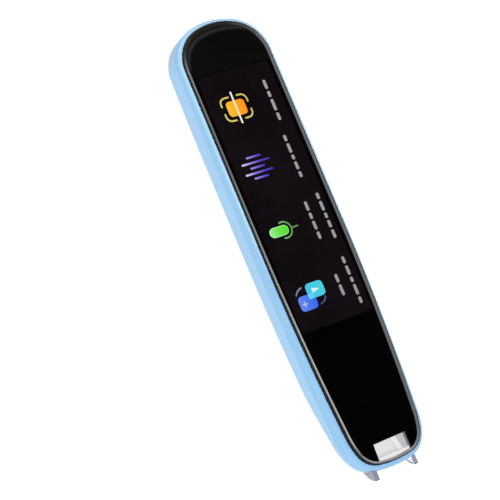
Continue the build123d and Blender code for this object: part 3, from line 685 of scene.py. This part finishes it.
for s, tag in ((1, "right"), (-1, "left")):
    # ramps along both lower corners of the white chamber, in the lighter glowing copy of the liner: painted light
    secs = []
    for y, xc, zf, zw in ((-57.6, 4.0, 3.60, 4.3), (-64.5, 4.0, 5.30, 5.70), (-67.0, 4.02, 5.86, 6.30),
                          (-69.2, 4.12, 6.42, 7.20), (-71.5, 4.25, 7.02, 8.30)):
        secs.append([(s * xc, y, zf), (s * 5.88, y, zw), (s * 5.88, y, zf - 0.35), (s * xc, y, zf - 0.35)])
    loft(f"chamber_ramp_{tag}", secs, "liner_painted_light")
    # a thin sheet on the flat face above each ramp, a little darker as painted shade, and a strip along the crease at
    # the ramp's foot, darker as painted shade there
    secs = []
    for y, zw in ((-57.6, 4.42), (-64.5, 5.82), (-67.0, 6.42), (-69.2, 7.32), (-71.5, 8.42)):
        secs.append([(s * 5.80, y, zw), (s * 5.88, y, zw), (s * 5.88, y, 10.44), (s * 5.80, y, 10.44)])
    loft(f"chamber_painted_shade_wall_{tag}", secs, "liner_painted_shade_wall")
    secs = []
    for y, xc, zf in ((-57.6, 4.0, 3.60), (-64.5, 4.0, 5.30), (-67.0, 4.02, 5.86), (-69.2, 4.12, 6.42),
                      (-71.5, 4.25, 7.02)):
        secs.append([(s * (xc - 0.10), y, zf - 0.1), (s * (xc + 0.12), y, zf - 0.1), (s * (xc + 0.12), y, zf + 0.10),
                     (s * (xc - 0.10), y, zf + 0.06)])
    loft(f"chamber_painted_crease_shade_{tag}", secs, "liner_painted_crease_shade")
# the chamber's front lip, in the lighter glowing copy of the liner: painted light
loft("chamber_lip", [[(x, -70.95, 10.10), (x, -71.68, 10.10), (x, -71.68, 10.46), (x, -71.10, 10.46)]
                     for x in (-5.86, 5.86)], "liner_painted_light", bevel=0.08)
# white strip under the front edge of the glass, out to the ring: a thin sheet in the lighter glowing copy of the
# liner, painted light
front = [(x, y) for x, y in outline(-RING_IN - 0.09, RING_TIP) if y < 0 and abs(x) < 6.38]
front.sort()
loft("chamber_painted_light_strip", [[(x, -71.60, 10.535), (x, y, 10.535), (x, y, 10.595), (x, -71.60, 10.595)]
                             for x, y in front], "liner_painted_light")

# ------------------------------------------------------------------ clear nib
def nib_piece():
    """Two fins joined by a bar, with softened edges; the faces carry painted light and shade: the left fin's sides
    stay clear, the right fin's sides are painted near white and glow, the top, back and other cross faces are painted
    darker, and the edges and a line along the right fin's inner lower front are painted darkest.
    """
    fin_x, t, top = 7.32, 1.45, 9.24
    lows = {-1: ((-76.98, 9.0), (-75.75, 5.95), (-73.15, 3.75)), 1: ((-76.88, 8.9), (-75.45, 6.25), (-73.20, 4.10))}
    parts = []
    for s in (-1, 1):
        (y2, z2), (y1, z1), (y0, z0) = lows[s]
        profile = [(-65.0, 7.1), (-72.55, 7.1), (-72.85, 4.9), (y0, z0)]
        # lower front curve
        den = 2 * (y0 * (z1 - z2) + y1 * (z2 - z0) + y2 * (z0 - z1))
        cy = ((y0 ** 2 + z0 ** 2) * (z1 - z2) + (y1 ** 2 + z1 ** 2) * (z2 - z0)
              + (y2 ** 2 + z2 ** 2) * (z0 - z1)) / den
        cz = ((y0 ** 2 + z0 ** 2) * (y2 - y1) + (y1 ** 2 + z1 ** 2) * (y0 - y2)
              + (y2 ** 2 + z2 ** 2) * (y1 - y0)) / den
        r = math.hypot(y0 - cy, z0 - cz)
        a0, a1 = math.atan2(z0 - cz, y0 - cy), math.atan2(z2 - cz, y2 - cy)
        if a0 - a1 > math.pi:
            a0 -= 2 * math.pi
        if a1 - a0 > math.pi:
            a1 -= 2 * math.pi
        profile += [(cy + r * math.cos(a0 + (a1 - a0) * k / 14), cz + r * math.sin(a0 + (a1 - a0) * k / 14))
                    for k in range(1, 15)]
        profile += [(y2, top - 0.20), (y2 + 0.06, top - 0.06), (y2 + 0.20, top), (-73.30, top), (-73.30, 8.65),
                    (-65.0, 8.65)]
        x0, x1 = s * fin_x - t / 2, s * fin_x + t / 2
        parts.append(([[(x0, y, z) for y, z in profile], [(x1, y, z) for y, z in profile]]))
    bar = [[(x, -73.20, 7.35), (x, -72.40, 7.35), (x, -72.40, 8.65), (x, -73.20, 8.65)] for x in (-6.59, 6.59)]
    bm = bmesh.new()
    for rows in parts + [bar]:
        vs = [[bm.verts.new(Vector(p) * MM) for p in row] for row in rows]
        m = len(vs[0])
        for i in range(m):
            j = (i + 1) % m
            bm.faces.new((vs[0][i], vs[0][j], vs[1][j], vs[1][i]))
        bm.faces.new(vs[0][::-1])
        bm.faces.new(vs[1])
    bmesh.ops.recalc_face_normals(bm, faces=bm.faces)
    sharp = [e for e in bm.edges if e.calc_face_angle(0) > 0.6]
    res = bmesh.ops.bevel(bm, geom=sharp, offset=0.10 * MM, segments=3, profile=0.5, affect="EDGES",
                          clamp_overlap=True)
    edge_faces = set(res["faces"])
    inner = [f for f in bm.faces if f not in edge_faces and f.normal.x < -0.9
             and 6.0 * MM < f.calc_center_median().x < 7.2 * MM and f.calc_area() > 4 * MM * MM]
    res = bmesh.ops.inset_region(bm, faces=inner, thickness=0.34 * MM, use_even_offset=True)
    for f in res["faces"]:
        c = f.calc_center_median() / MM
        if c.y < -73.2 and c.z < 8.6 and c.y < -72.0 - (c.z - 3.5) * 0.45:
            edge_faces.add(f)
    mesh = bpy.data.meshes.new("scan_nib_clear")
    flags = []
    bm.faces.ensure_lookup_table()
    for f in bm.faces:
        f.smooth = True
        c = f.calc_center_median()
        # each face takes one of the painted copies: edges darkest, the left fin's sides clear, the right fin's sides
        # near white and glowing, the rest darker
        if f in edge_faces:
            flags.append(2)
        elif abs(f.normal.x) > 0.7:
            flags.append(0 if c.x < 0 else 3)
        else:
            flags.append(1)
    bm.to_mesh(mesh)
    bm.free()
    for k in ("nib_side", "nib_top", "nib_edge", "nib_inner"):
        mesh.materials.append(M[k])
    for p, k in zip(mesh.polygons, flags):
        p.material_index = k
    mesh.set_sharp_from_angle(angle=math.radians(40))
    o = new_object("scan_nib_clear", mesh)
    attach(o, "nib")
    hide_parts("scan_nib")
    return o


nib_piece()


def spring_piece():
    """The nib's two return springs: closed wire coils between the slider and the casing's stop."""
    y0, y1, r, wire, turns, sides = -48.98, -44.82, 1.15, 0.16, 4.5, 10
    n = int(turns * 24)
    verts, faces = [], []
    for sx in (-1, 1):
        base = len(verts)
        for i in range(n + 1):
            a = 2 * math.pi * turns * i / n
            # the pitch closes up at both ends, as on a squared spring
            f = i / n
            y = y0 + (y1 - y0) * (f + 0.045 * math.sin(4 * math.pi * f))
            out = Vector((math.cos(a), 0, math.sin(a)))
            for k in range(sides):
                b = 2 * math.pi * k / sides
                c = out * (r + wire * math.cos(b)) + Vector((sx * 5.2, y + wire * math.sin(b), 6.0))
                verts.append(c * MM)
        for i in range(n):
            for k in range(sides):
                m = (k + 1) % sides
                a, b = base + i * sides, base + (i + 1) * sides
                faces.append((a + k, b + k, b + m, a + m))
        faces.append(tuple(base + k for k in range(sides)))
        faces.append(tuple(base + n * sides + k for k in range(sides))[::-1])
    mesh = bpy.data.meshes.new("nib_spring_coils")
    mesh.from_pydata(verts, [], faces)
    bm = bmesh.new()
    bm.from_mesh(mesh)
    bmesh.ops.recalc_face_normals(bm, faces=bm.faces)
    bm.to_mesh(mesh)
    bm.free()
    for q in mesh.polygons:
        q.use_smooth = True
    mesh.materials.append(M["spring"])
    o = new_object("nib_spring_coils", mesh)
    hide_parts("nib_springs")
    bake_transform(o)


spring_piece()

# ------------------------------------------------------------------ charging port contacts
bm = bmesh.new()
for side in (-1, 1):
    for k in range(12):
        x = -2.75 + 5.5 * k / 11
        z = 5.98 + side * 0.355
        bmesh.ops.create_cube(bm, size=1.0, matrix=Matrix.Translation(Vector((x, 70.6, z)) * MM)
                              @ Matrix.Diagonal((0.26 * MM, 3.2 * MM, 0.03 * MM, 1)))
bmesh.ops.bevel(bm, geom=list(bm.edges), offset=0.008 * MM, segments=1, affect="EDGES")
mesh = bpy.data.meshes.new("port_contacts")
bm.to_mesh(mesh)
bm.free()
mesh.materials.append(M["gold"])
contacts = new_object("port_contacts", mesh)
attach(contacts, "pen")

# ------------------------------------------------------------------ floor, light, camera
bm = bmesh.new()
bmesh.ops.create_grid(bm, x_segments=8, y_segments=8, size=2.0)
mesh = bpy.data.meshes.new("floor")
bm.to_mesh(mesh)
bm.free()
mesh.materials.append(procedural("pale_floor", (0.10, 0.10, 0.10), 0.75, vary=0.004, scale=8, bump=0.0, spec=0.1,
                                 strength=9.5))
floor = new_object("floor", mesh)
floor.location.z = -0.00002


def studio():
    """Plain soft studio light: a pale horizon that fades upwards, and soft patches."""
    w = bpy.data.worlds.new("studio")
    scene.world = w
    w.use_nodes = True
    nt = w.node_tree
    bg = nt.nodes["Background"]
    tc = nt.nodes.new("ShaderNodeTexCoord")
    sep = nt.nodes.new("ShaderNodeSeparateXYZ")
    nt.links.new(tc.outputs["Generated"], sep.inputs["Vector"])

    def levels(src, stops):
        ramp = nt.nodes.new("ShaderNodeValToRGB")
        el = ramp.color_ramp.elements
        for i, (pos, v) in enumerate(stops):
            e = el[i] if i < 2 else el.new(pos)
            e.position, e.color = pos, (v, v, v, 1)
        nt.links.new(src, ramp.inputs["Fac"])
        return ramp.outputs["Color"]

    def math_node(op, a, b):
        n = nt.nodes.new("ShaderNodeMath")
        n.operation = op
        for i, q in enumerate((a, b)):
            if isinstance(q, (int, float)):
                n.inputs[i].default_value = q
            else:
                nt.links.new(q, n.inputs[i])
        return n.outputs["Value"]

    def fade(src, a, b, lo, hi):
        n = nt.nodes.new("ShaderNodeMapRange")
        n.interpolation_type = "SMOOTHSTEP"
        n.inputs["From Min"].default_value, n.inputs["From Max"].default_value = a, b
        n.inputs["To Min"].default_value, n.inputs["To Max"].default_value = lo, hi
        nt.links.new(src, n.inputs["Value"])
        return n.outputs["Result"]

    sky = levels(sep.outputs["Z"], SKY)
    # the right-hand horizon has its own levels: pale towards the tip, dimmer towards the tail
    side = levels(sep.outputs["Y"], RIGHT)
    mask = math_node("MULTIPLY", fade(sep.outputs["X"], 0.78, 0.90, 0.0, 1.0),
                     fade(sep.outputs["Z"], 0.240, 0.280, 1.0, 0.0))
    total = math_node("ADD", math_node("MULTIPLY", sky, math_node("SUBTRACT", 1.0, mask)),
                      math_node("MULTIPLY", side, mask))

    def patch(direction, inner, outer, level):
        v = Vector(direction).normalized()
        n = nt.nodes.new("ShaderNodeVectorMath")
        n.operation = "DOT_PRODUCT"
        n.inputs[1].default_value = v
        nt.links.new(tc.outputs["Generated"], n.inputs[0])
        return fade(n.outputs["Value"], math.cos(math.radians(outer)), math.cos(math.radians(inner)), 0.0, level)

    # dark band above the right-hand horizon
    dark = math_node("MULTIPLY", fade(sep.outputs["X"], 0.40, 0.55, 0.0, 0.92),
                     fade(sep.outputs["Z"], 0.25, 0.30, 0.0, 1.0))
    total = math_node("MULTIPLY", total, math_node("SUBTRACT", 1.0, dark))
    for direction, inner, outer, level in PATCHES:
        total = math_node("MAXIMUM", total, patch(direction, inner, outer, level))
    bg.inputs["Strength"].default_value = 1.0
    nt.links.new(total, bg.inputs["Color"])


SKY = [(0.0, 0.30), (0.20, 0.26), (0.42, 0.18), (0.58, 0.08), (0.70, 0.03), (0.82, 0.008)]
RIGHT = [(0.0, 0.70), (0.085, 0.66), (0.115, 0.58), (0.135, 0.38), (0.155, 0.27), (0.19, 0.22), (0.25, 0.15)]
PATCHES = [
    # a pale arc round the far end, seen in the ring at the tip
    ((0.90, 0.31, 0.30), 5, 9, 0.46),
    ((0.84, 0.41, 0.35), 5, 9, 0.48),
    ((0.76, 0.49, 0.42), 6, 10, 0.50),
    ((0.66, 0.56, 0.50), 6, 10, 0.56),
    ((0.54, 0.61, 0.57), 6, 10, 0.56),
    ((0.43, 0.64, 0.64), 6, 10, 0.50),
    ((0.30, 0.64, 0.70), 6, 10, 0.44),
    ((0.15, 0.60, 0.78), 6, 11, 0.36),
    ((-0.01, 0.51, 0.86), 6, 11, 0.30),
    ((-0.14, 0.36, 0.92), 6, 11, 0.25),
    ((-0.30, 0.04, 0.95), 12, 20, 0.19),      # dim patch overhead, seen in the ring's right-hand side
    # dim patches behind the tail, seen in the ring there
    ((-0.10, -0.22, 0.97), 7, 13, 0.10),
    ((0.12, -0.40, 0.91), 8, 14, 0.085),
    ((0.50, -0.44, 0.74), 14, 24, 0.028),
    ((0.88, -0.16, 0.44), 10, 18, 0.035),
]
studio()

key = bpy.data.lights.new("key", "AREA")
key.shape = "SQUARE"
key.size = 0.45
key.energy = 10.5
key_obj = bpy.data.objects.new("key", key)
scene.collection.objects.link(key_obj)
key_dir = Vector((-0.26, -0.20, 0.94)).normalized()
key_obj.location = key_dir * 0.9
key_obj.rotation_euler = key_dir.to_track_quat("Z", "Y").to_euler()
key_obj.visible_glossy = False

cam = bpy.data.cameras.new("camera")
cam.sensor_width = 36.0
cam.lens = 1650.0 * 36.0 / 500.0
cam.clip_start, cam.clip_end = 0.02, 20.0
cam_obj = bpy.data.objects.new("camera", cam)
scene.collection.objects.link(cam_obj)
CR = Vector((0.833828, -0.380944, 0.399516))
CD = Vector((-0.276831, -0.914707, -0.294411))
CF = Vector((0.477594, 0.134890, -0.868164))
rot = Matrix((CR, -CD, -CF)).transposed().to_4x4()
cam_obj.matrix_world = Matrix.Translation(Vector((-256.644, -65.862, 443.840)) * MM) @ rot
scene.camera = cam_obj
scene.view_settings.view_transform = "Standard"
scene.cycles.use_denoising = True

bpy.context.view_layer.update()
